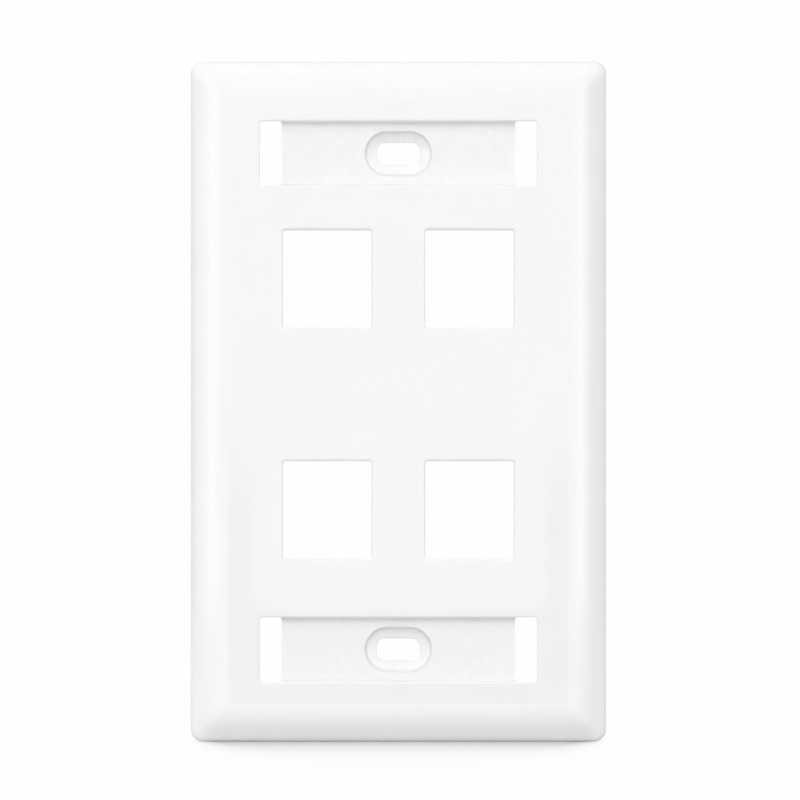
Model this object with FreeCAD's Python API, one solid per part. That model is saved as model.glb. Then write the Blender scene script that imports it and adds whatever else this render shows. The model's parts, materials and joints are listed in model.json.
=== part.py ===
import FreeCAD, Part
import math
import os
from FreeCAD import Vector

# Single-gang wall plate with four keystone ports and two label recesses, moulded in one piece.
# Millimetres. X runs across the plate, Z up, and the front looks towards -Y.
# The origin is the centre of the rear rim, which lies on the wall in the plane Y = 0.
# Depths are counted from the flat front face towards the wall.

# Plate
plate_width = 69.85
plate_height = 114.3
plate_depth = 6.5  # wall to flat front
panel_thickness = 2.2
rim_wall = 2.0
corner_radius = 2.0  # of the outline
corner_radius_loss = 0.27  # how fast that radius shrinks, per millimetre inwards over the bevel
inner_corner_radius = 1.2

# Bevelled edge
bevel_width = 6.4  # from the outline to the flat front, both roundings included
bevel_angle = math.radians(38.0)  # from the front plane
break_radius = 6.8  # soft rounding from bevel to flat front
edge_radius = 1.2  # rounding from bevel to side

# Keystone ports
port_width = 14.9
port_height = 16.4
port_pitch_x = 23.9
port_pitch_z = 38.8
port_rise = 1.2  # the ports sit this far above the screws' centre line
port_corner_radius = 0.4
port_edge_radius = 0.45

# Housing behind each port, which grips a keystone jack
housing_depth = 10.0
housing_wall = 1.6
housing_corner_radius = 0.6
housing_taper = 1.0  # how far its outer rear edges are cut back
ledge_depth = 8.2  # front face to the two ledges
catch_depth = 6.0  # front face to the pocket of the fixed lug
catch_reach = 1.8  # that pocket beyond the port's top edge
latch_depth = 4.0  # front face to the pocket of the spring latch
latch_reach = 4.2  # that pocket beyond the port's bottom edge
latch_lead = 2.9  # rear opening beyond the port's bottom edge
ramp = 0.7  # lead-in bevel at the rear edges of both ledges
shutoff_width = 9.6  # window through the outer wall of each pocket

# Label recesses
label_length = 46.6
label_height = 10.9
label_depth = 1.8
label_draft = math.radians(13.0)
label_corner_radius = 0.5
label_edge_radius = 0.3
label_floor = 1.6
channel_wall = 1.5
window_width = 3.7  # through hole at each end of the recess
tongue_width = 6.4  # notch behind each window, where a label cover's tongue hooks in

# Screw slots
screw_pitch = 83.34
dish_length = 11.4
dish_height = 7.7
dish_step = 1.3  # steep wall of the dish, below the recess floor
dish_run = 0.4  # how far that wall leans in
dish_depth = 1.75  # recess floor to slot edge
slot_length = 7.3
slot_height = 3.7
slot_corner_radius = 1.4
slot_edge_radius = 0.3
boss_wall = 1.4
boss_gap = 1.2  # boss end to wall plane

# Ribs behind the panel
rib_thickness = 1.2
rib_height = 2.6
gusset_reach = 3.0
bridge_height = 4.0  # ribs between neighbouring housings
bridge_spacing = 10.0

# Round marks that the ejector pins leave on the rear of the panel
ejector_radius = 1.75
ejector_sink = 0.15
ejector_inset = 3.0  # from the foot of the rim's slope to a mark's centre

rounding_steps = 3  # flats that make up the small rounding of an opening's front edge
through = 2.0  # how far cutters run past what they cut


def front(depth):
    """The Y of a plane that lies this deep behind the flat front face."""
    return depth - plate_depth


def rounded_rectangle(width, height, radius, y, centre_x=0.0, centre_z=0.0):
    """A closed wire in a plane of constant Y."""
    corners = []
    cut = radius * (1.0 - math.sqrt(0.5))
    for sx, sz in ((1, 1), (-1, 1), (-1, -1), (1, -1)):
        x = centre_x + sx * width / 2
        z = centre_z + sz * height / 2
        corner = [
            Vector(x, y, z - sz * radius),
            Vector(x - sx * cut, y, z - sz * cut),
            Vector(x - sx * radius, y, z),
        ]
        if sx * sz < 0:
            corner.reverse()
        corners.append(corner)
    edges = []
    for corner, following in zip(corners, corners[1:] + corners[:1]):
        edges.append(Part.Arc(*corner).toShape())
        edges.append(Part.LineSegment(corner[2], following[0]).toShape())
    return Part.Wire(edges)


def stadium(length, height, y, centre_z):
    """A closed wire with round ends, whose upright sides are kept just long enough to exist."""
    return rounded_rectangle(length, height, 0.499 * height, y, 0.0, centre_z)


def prism(wire, y_to):
    """A wire's face carried along Y."""
    y_from = wire.BoundBox.YMin
    return Part.Face(wire).extrude(Vector(0, y_to - y_from, 0))


def ruled(wires):
    """A solid of straight walls from wire to wire."""
    return Part.makeLoft(wires, True, True)


def block(x_from, x_to, y_from, y_to, z_from, z_to):
    """A plain box between two corners."""
    corner = Vector(x_from, y_from, z_from)
    return Part.makeBox(x_to - x_from, y_to - y_from, z_to - z_from, corner)


def side_prism(points, x_from, x_to):
    """A polygon of (Y, Z) points carried along X."""
    corners = [Vector(x_from, y, z) for y, z in points]
    face = Part.Face(Part.makePolygon(corners + corners[:1]))
    return face.extrude(Vector(x_to - x_from, 0, 0))


def rounded_mouth(rounding, y_edge):
    """(flare, Y) down the rounded edge of an opening, from the surface at y_edge inwards."""
    stations = []
    for step in range(rounding_steps + 1):
        turn = math.pi / 2 * step / rounding_steps
        flare = rounding * (1.0 - math.sin(turn))
        stations.append((flare, y_edge + rounding * (1.0 - math.cos(turn))))
    return stations


def break_point(slope):
    """(inset, height) on the soft rounding, where the surface has this slope."""
    inset = bevel_width - break_radius * math.sin(slope)
    height = plate_depth - break_radius * (1.0 - math.cos(slope))
    return inset, height


def side_height():
    """Height above the wall at which the side runs into the outer edge rounding."""
    inset, height = break_point(bevel_angle)
    run = inset - edge_radius * (1.0 - math.sin(bevel_angle))
    return height - run * math.tan(bevel_angle) - edge_radius * math.cos(bevel_angle)


def edge_point(slope):
    """(inset, height) on the outer edge rounding, where the surface has this slope."""
    inset = edge_radius * (1.0 - math.sin(slope))
    return inset, side_height() + edge_radius * math.cos(slope)


def bevel_stations():
    """(inset, height) from the side to the flat front: edge rounding, bevel, soft rounding."""
    edge_steps = 4
    bevel_steps = 3
    break_steps = 5
    stations = []
    for step in range(edge_steps + 1):
        slope = math.pi / 2 + (bevel_angle - math.pi / 2) * step / edge_steps
        stations.append(edge_point(slope))
    start = edge_point(bevel_angle)
    end = break_point(bevel_angle)
    for step in range(1, bevel_steps):
        share = step / bevel_steps
        inset = start[0] + (end[0] - start[0]) * share
        height = start[1] + (end[1] - start[1]) * share
        stations.append((inset, height))
    for step in range(break_steps + 1):
        stations.append(break_point(bevel_angle * (1.0 - step / break_steps)))
    return stations


def outline(inset, height):
    """The plate's outline, this far in from the edge and this high above the wall."""
    radius = corner_radius - corner_radius_loss * inset
    width = plate_width - 2 * inset
    return rounded_rectangle(width, plate_height - 2 * inset, radius, -height)


def outer_form():
    """The plate as one lump: straight sides, then a smooth skin over bevel and roundings."""
    crown = Part.makeLoft([outline(*station) for station in bevel_stations()], True)
    sides = prism(outline(0.0, 0.0), -side_height())
    return sides.fuse(crown).removeSplitter()


def hollow_knee():
    """Height above the wall at which the rim's inside starts to slope."""
    inset, height = edge_point(bevel_angle)
    slope_inset = inset + panel_thickness * math.sin(bevel_angle)
    slope_height = height - panel_thickness * math.cos(bevel_angle)
    return slope_height + (rim_wall - slope_inset) * math.tan(bevel_angle)


def hollow_inset():
    """From the outline in to where that slope meets the flat rear of the panel."""
    rise = plate_depth - panel_thickness - hollow_knee()
    return rim_wall + rise / math.tan(bevel_angle)


def hollow():
    """The space inside the rim, whose slope runs along under the bevel."""
    ceiling = plate_depth - panel_thickness
    wires = []
    for gap, level in (
        (rim_wall, -through),
        (rim_wall, hollow_knee()),
        (hollow_inset(), ceiling),
    ):
        width = plate_width - 2 * gap
        height = plate_height - 2 * gap
        wires.append(rounded_rectangle(width, height, inner_corner_radius, -level))
    return ruled(wires)


def port_columns():
    """X of the two columns of ports."""
    return (-port_pitch_x / 2, port_pitch_x / 2)


def port_rows():
    """Z of the two rows of ports, the lower row first."""
    return (port_rise - port_pitch_z / 2, port_rise + port_pitch_z / 2)


def screw_rows():
    """Z of the two screw slots and of the label recesses round them."""
    return (-screw_pitch / 2, screw_pitch / 2)


def housing_top():
    """From a port's centre up to the housing's outside."""
    return port_height / 2 + catch_reach + housing_wall


def housing_bottom():
    """From a port's centre down to the housing's outside."""
    return port_height / 2 + latch_reach + housing_wall


def housing_half_width():
    """From a port's centre across to the housing's outside."""
    return port_width / 2 + housing_wall


def port_housing(x, z):
    """The four walls that stand behind a port, still solid inside."""
    y_panel = front(panel_thickness / 2)
    y_rear = front(housing_depth)
    y_taper = y_rear - housing_taper
    top = z + housing_top()
    bottom = z - housing_bottom()
    profile = [
        (y_panel, bottom),
        (y_panel, top),
        (y_taper, top),
        (y_rear, top - housing_taper),
        (y_rear, bottom + housing_taper),
        (y_taper, bottom),
    ]
    half = housing_half_width()
    body = side_prism(profile, x - half, x + half)
    plan = rounded_rectangle(
        2 * half, top - bottom, housing_corner_radius, y_panel, x, (top + bottom) / 2
    )
    return body.common(prism(plan, y_rear))


def port_throat(x, z):
    """The straight way through a port, with its front edge rounded."""
    stations = rounded_mouth(port_edge_radius, front(0.0))
    stations.append((0.0, front(housing_depth + through)))
    wires = []
    for flare, y in stations:
        width = port_width + 2 * flare
        height = port_height + 2 * flare
        wires.append(rounded_rectangle(width, height, port_corner_radius + flare, y, x, z))
    return ruled(wires)


def jack_pockets(x, z):
    """The fixed lug's pocket above the throat and the spring latch's below, with their ledges."""
    top = z + port_height / 2
    bottom = z - port_height / 2
    y_ledge = front(ledge_depth)
    y_rear = front(housing_depth)
    y_past = y_rear + through
    catch = [
        (front(catch_depth), top - through),
        (front(catch_depth), top + catch_reach),
        (y_ledge, top + catch_reach),
        (y_ledge, top),
        (y_rear - ramp, top),
        (y_rear, top + ramp),
        (y_past, top + ramp),
        (y_past, top - through),
    ]
    latch = [
        (front(latch_depth), bottom + through),
        (front(latch_depth), bottom - latch_reach),
        (y_ledge, bottom - latch_reach),
        (y_ledge, bottom - latch_lead),
        (y_rear - ramp, bottom - latch_lead),
        (y_rear, bottom - latch_lead - ramp),
        (y_past, bottom - latch_lead - ramp),
        (y_past, bottom + through),
    ]
    half = port_width / 2
    return [side_prism(points, x - half, x + half) for points in (catch, latch)]


def pocket_shutoffs(x, z):
    """The windows in the housing's top and bottom walls, through which the pockets are moulded."""
    half = shutoff_width / 2
    y_ledge = front(ledge_depth)
    top = z + port_height / 2
    bottom = z - port_height / 2
    above = z + housing_top() + through / 2
    below = z - housing_bottom() - through / 2
    return [
        block(x - half, x + half, front(catch_depth), y_ledge, top, above),
        block(x - half, x + half, front(latch_depth), y_ledge, below, bottom),
    ]


def label_channel(z):
    """The walls and floor behind a label recess, with the boss of its screw slot."""
    y_panel = front(panel_thickness / 2)
    length = label_length + 2 * channel_wall
    height = label_height + 2 * channel_wall
    rim = rounded_rectangle(length, height, channel_wall, y_panel, 0.0, z)
    boss = stadium(dish_length + 2 * boss_wall, dish_height + 2 * boss_wall, y_panel, z)
    return prism(rim, front(label_depth + label_floor)).fuse(prism(boss, -boss_gap))


def label_recess(z):
    """The recess for a label: a rounded mouth, sloping walls and a flat floor."""
    stations = rounded_mouth(label_edge_radius, front(0.0))
    lean = (label_depth - label_edge_radius) * math.tan(label_draft)
    stations.append((-lean, front(label_depth)))
    wires = []
    for flare, y in stations:
        radius = label_corner_radius + max(flare, 0.0)
        width = label_length + 2 * flare
        wires.append(rounded_rectangle(width, label_height + 2 * flare, radius, y, 0.0, z))
    return ruled(wires)


def label_windows(z):
    """The holes right through both ends of a label recess, with the notches behind them."""
    cuts = []
    y_mouth = front(label_edge_radius)
    for side in (-1, 1):
        x = side * (label_length - window_width) / 2
        window = rounded_rectangle(
            window_width, label_height, label_corner_radius, y_mouth, x, z
        )
        cuts.append(prism(window, through))
        outside = side * (label_length / 2 + channel_wall + through)
        x_from, x_to = sorted((x, outside))
        half = tongue_width / 2
        cuts.append(block(x_from, x_to, front(panel_thickness), 0.0, z - half, z + half))
    return cuts


def screw_seat(z):
    """The dished seat of a screw head: a steep wall, then a slope to the slot's rounded edge."""
    y_floor = front(label_depth)
    wires = [
        stadium(dish_length, dish_height, y_floor - dish_step, z),
        stadium(dish_length, dish_height, y_floor, z),
        stadium(dish_length - 2 * dish_run, dish_height - 2 * dish_run, y_floor + dish_step, z),
    ]
    stations = rounded_mouth(slot_edge_radius, y_floor + dish_depth)
    stations.append((0.0, -boss_gap + through))
    for flare, y in stations:
        width = slot_length + 2 * flare
        height = slot_height + 2 * flare
        wires.append(rounded_rectangle(width, height, slot_corner_radius + flare, y, 0.0, z))
    return ruled(wires)


def gusset(side, x, z):
    """A right-angled gusset from a housing's outer wall down to the panel."""
    y_foot = front(panel_thickness)
    corners = [
        Vector(side * x, y_foot, z),
        Vector(side * (x + gusset_reach), y_foot, z),
        Vector(side * x, y_foot + gusset_reach, z),
    ]
    face = Part.Face(Part.makePolygon(corners + corners[:1]))
    return face.extrude(Vector(0, 0, rib_thickness))


def ribs():
    """Bridges between neighbouring housings and gussets beside them, all on the panel."""
    y_panel = front(panel_thickness / 2)
    y_rib = front(panel_thickness + rib_height)
    y_bridge = front(panel_thickness + bridge_height)
    inner = port_pitch_x / 2 - housing_half_width()
    outer = port_pitch_x / 2 + housing_half_width()
    half = rib_thickness / 2
    pieces = []
    for row in port_rows():
        for z in (row - bridge_spacing / 2, row + bridge_spacing / 2):
            pieces.append(block(-inner, inner, y_panel, y_bridge, z - half, z + half))
            pieces += [gusset(side, outer, z - half) for side in (-1, 1)]
    lower, upper = port_rows()
    z_from = lower + housing_top()
    z_to = upper - housing_bottom()
    for side in (-1, 1):
        x = side * (outer - housing_wall / 2)
        pieces.append(block(x - half, x + half, y_panel, y_rib, z_from, z_to))
    return pieces


def ejector_marks():
    """The shallow round marks in the rear of the panel, down both sides and in the middle."""
    x = plate_width / 2 - hollow_inset() - ejector_inset
    z = screw_pitch / 2 - label_height
    y_rear = front(panel_thickness)
    marks = []
    for centre_x, centre_z in ((x, z), (-x, z), (x, 0.0), (-x, 0.0), (x, -z), (-x, -z), (0.0, 0.0)):
        centre = Vector(centre_x, y_rear - ejector_sink, centre_z)
        height = ejector_sink + through
        marks.append(Part.makeCylinder(ejector_radius, height, centre, Vector(0, 1, 0)))
    return marks


def faceplate():
    """The whole moulding: the shell, what stands behind it, then everything cut through."""
    ports = [(x, z) for z in port_rows() for x in port_columns()]
    shell = outer_form().cut(hollow())
    added = [port_housing(x, z) for x, z in ports]
    added += [label_channel(z) for z in screw_rows()]
    added += ribs()
    removed = ejector_marks()
    for x, z in ports:
        removed.append(port_throat(x, z))
        removed += jack_pockets(x, z)
        removed += pocket_shutoffs(x, z)
    for z in screw_rows():
        removed.append(label_recess(z))
        removed += label_windows(z)
        removed.append(screw_seat(z))
    return shell.fuse(added).removeSplitter().cut(removed)


def main():
    os.makedirs("parts", exist_ok=True)
    shape = faceplate()
    print("solids", len(shape.Solids), "valid", shape.isValid(), "volume", round(shape.Volume, 1))
    shape.Solids[0].exportStep("parts/faceplate.step")


main()
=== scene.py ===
import json
import math

import bpy
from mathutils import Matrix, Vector


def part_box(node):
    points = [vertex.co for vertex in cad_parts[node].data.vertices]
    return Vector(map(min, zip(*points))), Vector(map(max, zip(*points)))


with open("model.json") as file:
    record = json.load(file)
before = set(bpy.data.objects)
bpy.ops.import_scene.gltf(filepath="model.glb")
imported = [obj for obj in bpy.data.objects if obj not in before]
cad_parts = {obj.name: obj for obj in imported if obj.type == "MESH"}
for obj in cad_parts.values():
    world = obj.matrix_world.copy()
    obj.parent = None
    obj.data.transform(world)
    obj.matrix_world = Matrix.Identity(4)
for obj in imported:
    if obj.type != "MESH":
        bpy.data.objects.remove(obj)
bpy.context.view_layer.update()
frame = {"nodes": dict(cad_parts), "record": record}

# All lengths are metres. The plate stands as it hangs: +Z up, its front towards -Y.
MM = 0.001

LOW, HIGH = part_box("faceplate")
FRONT = LOW.y
REAR = HIGH.y
FOOT = LOW.z
SIDE = HIGH.x

# The label recesses. The lower one mirrors the upper one.
MOUNTS = {mount["name"]: Vector(mount["pos_m"]) for mount in frame["record"]["mounts"]}
RECESS = MOUNTS["label_recess_upper"]  # the middle of its floor
RECESS_HALF_LENGTH = 20.2 * MM  # from there to just past the inner sides of the end windows
RECESS_HALF_HEIGHT = 5.75 * MM  # at its mouth
SEAT_REAR = FRONT + 3.7 * MM  # just behind the slot edge of the screw seat

# The plastic.
PLASTIC = (0.9, 0.9, 0.913)
IOR = 1.55
PEEL_HEIGHT = 0.0004 * MM
GRAIN_HEIGHT = 0.012 * MM
MATT_ROUGHNESS = 0.3  # what a recess floor has beyond the polished front

# The floor and the background.
WHITE = 0.991
FLOOR_BOUNCE = 0.7  # albedo of the floor as the plate sees it
PAINTED_SHADOW_ALBEDO = 0.56  # albedo the camera sees on the floor where the painted shadow lies over the real one
FLOOR_HALF = 1.5
CONTACT_FRONT = FRONT + 3.8 * MM  # where the front of the lower edge meets the floor
PAINTED_SHADOW_REACH = 47 * MM  # over which the painted shadow on the floor fades out; the plate's real shadow shows only within it
PAINTED_SHADOW_GLOSS_REACH = 3 * MM  # the same painted shadow, as the gloss of the plate reflects it
PAINTED_SHADOW_SOFTNESS = 4 * MM  # of the painted shadow's ends, next to the plate
PAINTED_SHADOW_TAPER = 0.15  # by how much they soften with the distance

# The flag: a card in front of the plate. Places on it are written as its mirror image shows on the plate.
FLAG_DISTANCE = 120 * MM
FLAG_HALF = 45 * MM
FLAG_BRIGHT_HALF = 24.7 * MM  # the part of the face that it leaves bright
FLAG_BRIGHT_FOOT = -35.0 * MM
FLAG_CORNER = 3.0 * MM
FLAG_SOFTNESS = 0.6 * MM
FLAG_FULL = -21.6 * MM  # it darkens from the middle of the plate down to here

# The camera: a long lens, square on to the front.
VIEW_WIDTH = 134.39 * MM
SENSOR = 36.0
LENS = 800.0
DISTANCE = VIEW_WIDTH * LENS / SENSOR
AIM = Vector((0.28 * MM, FRONT, 0.27 * MM))


def new_material(name):
    """A material with an empty node tree."""
    material = bpy.data.materials.new(name)
    material.use_nodes = True
    material.node_tree.nodes.clear()
    return material, material.node_tree


def add(tree, kind, inputs=(), **settings):
    """A node of that kind. Each input is (socket, value or output socket to link)."""
    node = tree.nodes.new(kind)
    for key, value in settings.items():
        setattr(node, key, value)
    for socket, source in inputs:
        if isinstance(source, bpy.types.NodeSocket):
            tree.links.new(source, node.inputs[socket])
        else:
            node.inputs[socket].default_value = source
    return node


def maths(tree, operation, a, b=0.0):
    """The number that the operation makes of a and b."""
    return add(tree, "ShaderNodeMath", [(0, a), (1, b)], operation=operation).outputs[0]


def vector_maths(tree, operation, inputs, output="Vector"):
    """What the operation makes of these (socket, vector or number) inputs."""
    return add(tree, "ShaderNodeVectorMath", inputs, operation=operation).outputs[output]


def ramp(tree, value, low, high, to_low=0.0, to_high=1.0, smooth=True):
    """Value from low..high to to_low..to_high, clamped, with soft ends if smooth."""
    kind = "SMOOTHSTEP" if smooth else "LINEAR"
    inputs = [(0, value), (1, low), (2, high), (3, to_low), (4, to_high)]
    return add(tree, "ShaderNodeMapRange", inputs, interpolation_type=kind).outputs[0]


def noise(tree, place, per_metre, detail, roughness=0.5):
    """Noise of that fineness, mostly between 0.3 and 0.7."""
    inputs = [("Vector", place), ("Scale", per_metre), ("Detail", detail), ("Roughness", roughness)]
    return add(tree, "ShaderNodeTexNoise", inputs).outputs["Fac"]


def stretch(tree, pattern, to_low, to_high):
    """Noise stretched over to_low..to_high."""
    return ramp(tree, pattern, 0.3, 0.7, to_low, to_high, smooth=False)


def split(tree, place):
    """The X, Y and Z of a place."""
    return add(tree, "ShaderNodeSeparateXYZ", [(0, place)]).outputs


def recess_mask(tree, place):
    """1 on the floors and screw seats of the two label recesses, 0 elsewhere."""
    x, y, z = split(tree, place)
    height = maths(tree, "SUBTRACT", maths(tree, "ABSOLUTE", z), RECESS.z)
    sides = [
        ramp(tree, maths(tree, "ABSOLUTE", x), RECESS_HALF_LENGTH, RECESS_HALF_LENGTH - 0.6 * MM),
        ramp(tree, maths(tree, "ABSOLUTE", height), RECESS_HALF_HEIGHT, RECESS_HALF_HEIGHT - 0.3 * MM),
        ramp(tree, y, RECESS.y - 0.3 * MM, RECESS.y - 0.05 * MM),
        ramp(tree, y, SEAT_REAR + 0.2 * MM, SEAT_REAR),
    ]
    mask = sides[0]
    for side in sides[1:]:
        mask = maths(tree, "MULTIPLY", mask, side)
    return mask


def white_plastic():
    """Moulded white plastic: glossy with a faint orange peel, but matt and speckled in the recesses."""
    material, tree = new_material("white_plastic")
    place = add(tree, "ShaderNodeTexCoord").outputs["Object"]
    matt = recess_mask(tree, place)
    peel = noise(tree, place, 900.0, 2.0)
    grain = noise(tree, place, 5200.0, 4.0, 0.6)
    mottle = noise(tree, place, 900.0, 4.0, 0.65)
    flow = noise(tree, place, 60.0, 3.0)

    speckle = maths(tree, "ADD", stretch(tree, grain, 0.02, 0.0), stretch(tree, mottle, 0.04, 0.0))
    darkening = maths(tree, "MULTIPLY", matt, speckle)
    tone = maths(tree, "SUBTRACT", stretch(tree, flow, 0.992, 1.0), darkening)
    colour = vector_maths(tree, "SCALE", [(0, PLASTIC), ("Scale", tone)])

    roughening = maths(tree, "MULTIPLY", matt, MATT_ROUGHNESS)
    roughness = maths(tree, "ADD", stretch(tree, grain, 0.045, 0.06), roughening)
    waves = add(tree, "ShaderNodeBump", [("Distance", PEEL_HEIGHT), ("Height", peel)]).outputs[0]
    pits = maths(tree, "MULTIPLY", grain, ramp(tree, matt, 0.0, 1.0, 0.01, 1.0, smooth=False))
    relief = [("Distance", GRAIN_HEIGHT), ("Height", pits), ("Normal", waves)]
    normal = add(tree, "ShaderNodeBump", relief).outputs[0]

    look = [("Base Color", colour), ("Roughness", roughness), ("Normal", normal), ("IOR", IOR)]
    shader = add(tree, "ShaderNodeBsdfPrincipled", look).outputs[0]
    add(tree, "ShaderNodeOutputMaterial", [("Surface", shader)])
    return material


def floor_material():
    """Pale floor with a painted shadow: near the plate a grey diffuse patch, which also takes the plate's
    real shadow, fading to plain white with the distance from it.
    """
    material, tree = new_material("studio_floor")
    x, y, _ = split(tree, add(tree, "ShaderNodeNewGeometry").outputs["Position"])
    # Painted shadow: the distance from the plate, and a mask as wide as the plate that narrows with that
    # distance.
    before = maths(tree, "SUBTRACT", CONTACT_FRONT, y)
    behind = maths(tree, "SUBTRACT", y, REAR)
    distance = maths(tree, "MAXIMUM", maths(tree, "MAXIMUM", before, behind), 0.0)
    taper = maths(tree, "MULTIPLY", distance, PAINTED_SHADOW_TAPER)
    full = maths(tree, "SUBTRACT", SIDE - PAINTED_SHADOW_SOFTNESS, taper)
    painted_shadow_sides = ramp(tree, maths(tree, "ABSOLUTE", x), SIDE, full)

    path = add(tree, "ShaderNodeLightPath").outputs
    white = 0.0
    # The painted shadow fades out with the distance, sooner in the plate's gloss than to the camera.
    for reach, ray in ((PAINTED_SHADOW_REACH, "Is Camera Ray"), (PAINTED_SHADOW_GLOSS_REACH, "Is Glossy Ray")):
        painted_shadow_fade = maths(tree, "EXPONENT", maths(tree, "DIVIDE", distance, -reach))
        away = maths(tree, "SUBTRACT", 1.0, maths(tree, "MULTIPLY", painted_shadow_fade, painted_shadow_sides))
        white = maths(tree, "ADD", maths(tree, "MULTIPLY", away, path[ray]), white)

    # Painted shade: the camera sees the floor as a darker grey than the plate's bounce light does.
    albedo = ramp(tree, path["Is Camera Ray"], 0.0, 1.0, FLOOR_BOUNCE, PAINTED_SHADOW_ALBEDO, smooth=False)
    grey = add(tree, "ShaderNodeCombineXYZ", [(0, albedo), (1, albedo), (2, albedo)]).outputs[0]
    matt = add(tree, "ShaderNodeBsdfDiffuse", [("Color", grey)]).outputs[0]
    glow = add(tree, "ShaderNodeEmission", [("Strength", WHITE)]).outputs[0]
    surface = add(tree, "ShaderNodeMixShader", [(0, white), (1, matt), (2, glow)]).outputs[0]
    add(tree, "ShaderNodeOutputMaterial", [("Surface", surface)])
    return material


def flag_material():
    """Black around a bright part with two rounded lower corners, and clear higher up."""
    material, tree = new_material("studio_flag")
    spread = 1.0 + FLAG_DISTANCE / DISTANCE
    place = add(tree, "ShaderNodeNewGeometry").outputs["Position"]
    shrink = (1 / spread, 1.0, 1 / spread)
    x, _, z = split(tree, vector_maths(tree, "MULTIPLY", [(0, place), (1, shrink)]))

    across = maths(tree, "SUBTRACT", maths(tree, "ABSOLUTE", x), FLAG_BRIGHT_HALF - FLAG_CORNER)
    down = maths(tree, "SUBTRACT", FLAG_BRIGHT_FOOT + FLAG_CORNER, z)
    squares = [maths(tree, "POWER", maths(tree, "MAXIMUM", way, 0.0), 2.0) for way in (across, down)]
    reach = maths(tree, "SQRT", maths(tree, "ADD", *squares))
    outside = ramp(tree, reach, FLAG_CORNER - FLAG_SOFTNESS, FLAG_CORNER + FLAG_SOFTNESS)
    dark = maths(tree, "MULTIPLY", outside, ramp(tree, z, 0.0, FLAG_FULL))

    clear = add(tree, "ShaderNodeBsdfTransparent").outputs[0]
    black = add(tree, "ShaderNodeEmission", [("Strength", 0.0)]).outputs[0]
    surface = add(tree, "ShaderNodeMixShader", [(0, dark), (1, clear), (2, black)]).outputs[0]
    add(tree, "ShaderNodeOutputMaterial", [("Surface", surface)])
    return material


def sheet(name, corners, material):
    """A flat four-cornered stage piece."""
    mesh = bpy.data.meshes.new(name)
    mesh.from_pydata(corners, [], [(0, 1, 2, 3)])
    mesh.materials.append(material)
    piece = bpy.data.objects.new(name, mesh)
    bpy.context.scene.collection.objects.link(piece)
    return piece


def floor():
    """The floor that the plate stands on."""
    half = FLOOR_HALF
    corners = [(-half, -half, FOOT), (half, -half, FOOT), (half, half, FOOT), (-half, half, FOOT)]
    sheet("floor", corners, floor_material())


def flag():
    """Dims the foot and the lower sides of the face. Only the plate's gloss sees it."""
    half = FLAG_HALF
    y = FRONT - FLAG_DISTANCE
    corners = [(-half, y, FOOT), (half, y, FOOT), (half, y, 0), (-half, y, 0)]
    card = sheet("flag", corners, flag_material())
    card.visible_camera = False
    card.visible_diffuse = False
    card.visible_shadow = False
    card.visible_transmission = False


def softbox(place, width, height, radiance):
    """An area light of that radiance, turned towards the plate."""
    data = bpy.data.lights.new("softbox", "AREA")
    data.shape = "RECTANGLE"
    data.size = width
    data.size_y = height
    data.energy = radiance * width * height * math.pi
    lamp = bpy.data.objects.new("softbox", data)
    lamp.location = place
    lamp.rotation_mode = "QUATERNION"
    lamp.rotation_quaternion = (-Vector(place)).to_track_quat("-Z", "Y")
    bpy.context.scene.collection.objects.link(lamp)


def lobe_sum(tree, way, lobes):
    """Light from all round, as a sum of (direction, tightness, strength) lobes."""
    total = 0.0
    for direction, tightness, strength in lobes:
        centre = Vector(direction).normalized()
        nearness = vector_maths(tree, "DOT_PRODUCT", [(0, way), (1, centre)], "Value")
        lobe = maths(tree, "POWER", maths(tree, "MAXIMUM", nearness, 0.0), tightness)
        total = maths(tree, "ADD", maths(tree, "MULTIPLY", lobe, strength), total)
    return total


def background(tree, strength):
    """White light of that strength from the world."""
    inputs = [("Color", (1.0, 1.0, 1.0, 1.0)), ("Strength", strength)]
    return add(tree, "ShaderNodeBackground", inputs).outputs[0]


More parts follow.
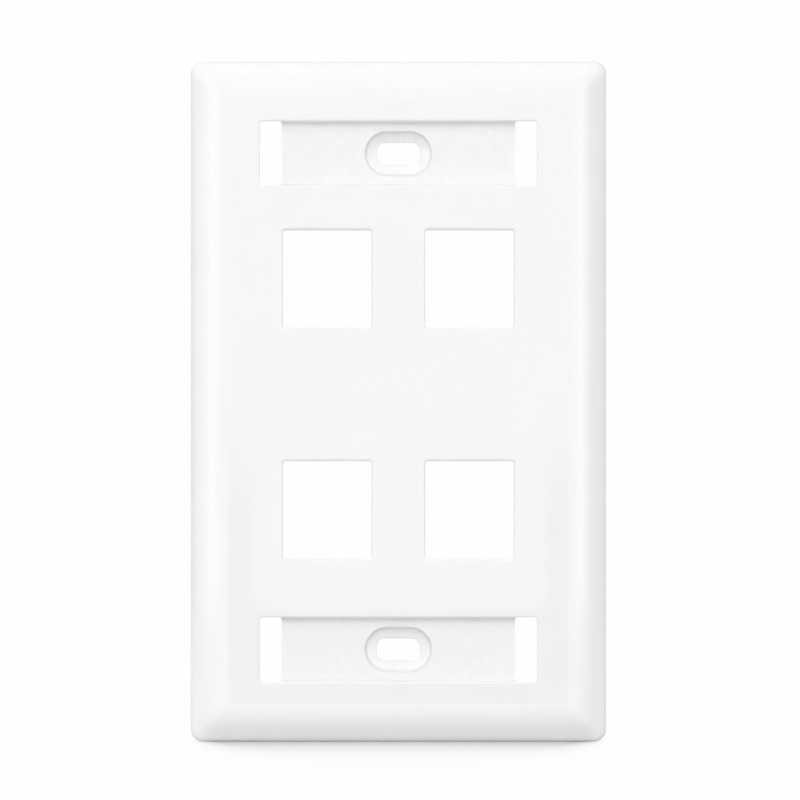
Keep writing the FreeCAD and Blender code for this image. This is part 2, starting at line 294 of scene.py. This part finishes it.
def world_light(lobes, gleams):
    """Soft light in lobes. The camera sees plain white, and gloss sees that white and the gleams."""
    world = bpy.data.worlds.new("studio")
    world.use_nodes = True
    tree = world.node_tree
    tree.nodes.clear()
    way = add(tree, "ShaderNodeTexCoord").outputs["Generated"]
    path = add(tree, "ShaderNodeLightPath").outputs
    direct = maths(tree, "MAXIMUM", path["Is Camera Ray"], path["Is Transmission Ray"])
    seen = maths(tree, "MAXIMUM", direct, path["Is Glossy Ray"])
    gleam = maths(tree, "MULTIPLY", lobe_sum(tree, way, gleams), path["Is Glossy Ray"])
    around = background(tree, lobe_sum(tree, way, lobes))
    white = background(tree, maths(tree, "ADD", gleam, WHITE))
    light = add(tree, "ShaderNodeMixShader", [(0, seen), (1, around), (2, white)]).outputs[0]
    add(tree, "ShaderNodeOutputWorld", [("Surface", light)])
    bpy.context.scene.world = world


def studio():
    """Floor, flag and soft light, strongest from in front and above, and stronger from the left."""
    floor()
    flag()
    softbox(place=(0, -0.1, 1.2), width=1.0, height=0.5, radiance=0.46)
    lobes = [
        ((0, 0, 1), 0.0, 0.29),  # even, from all round
        ((0, -0.94, 0.34), 12.0, 3.47),  # in front, a little above
        ((0, -0.7, 0.7), 8.0, 1.0),  # in front and above
        ((-1, 0, 0.15), 4.0, 0.64),  # left
        ((1, 0, 0.15), 4.0, 0.05),  # right
        ((-0.8, 0.6, 0.1), 14.0, 1.2),  # behind on the left
        ((0, 1, 0.2), 6.0, 1.9),  # behind
    ]
    gleams = [
        ((-0.68, -0.73, 0), 30.0, 0.95),  # brighter on the left bevel
        ((-0.9, -0.43, 0), 20.0, 0.95),
        ((-1, 0.1, 0), 12.0, -0.9),  # darker on the left edge
        ((0.64, -0.77, 0), 16.0, 1.5),  # brighter on the right bevel
        ((1, -0.1, 0), 10.0, -0.18),  # darker on the right edge
        ((0, -0.87, 0.5), 12.0, -0.4),  # darker on the inner part of the upper bevel
    ]
    world_light(lobes, gleams)


def camera():
    """A camera level with the middle of the plate and square on to its front."""
    data = bpy.data.cameras.new("camera")
    data.lens = LENS
    data.sensor_width = SENSOR
    data.clip_start = 0.01
    data.clip_end = 20.0
    eye = bpy.data.objects.new("camera", data)
    eye.location = AIM + Vector((0, -DISTANCE, 0))
    eye.rotation_euler = (math.radians(90), 0, 0)
    bpy.context.scene.collection.objects.link(eye)
    bpy.context.scene.camera = eye


plate = frame["nodes"]["faceplate"]
plate.data.materials.clear()
plate.data.materials.append(white_plastic())

studio()
camera()
bpy.context.scene.view_settings.view_transform = "Standard"
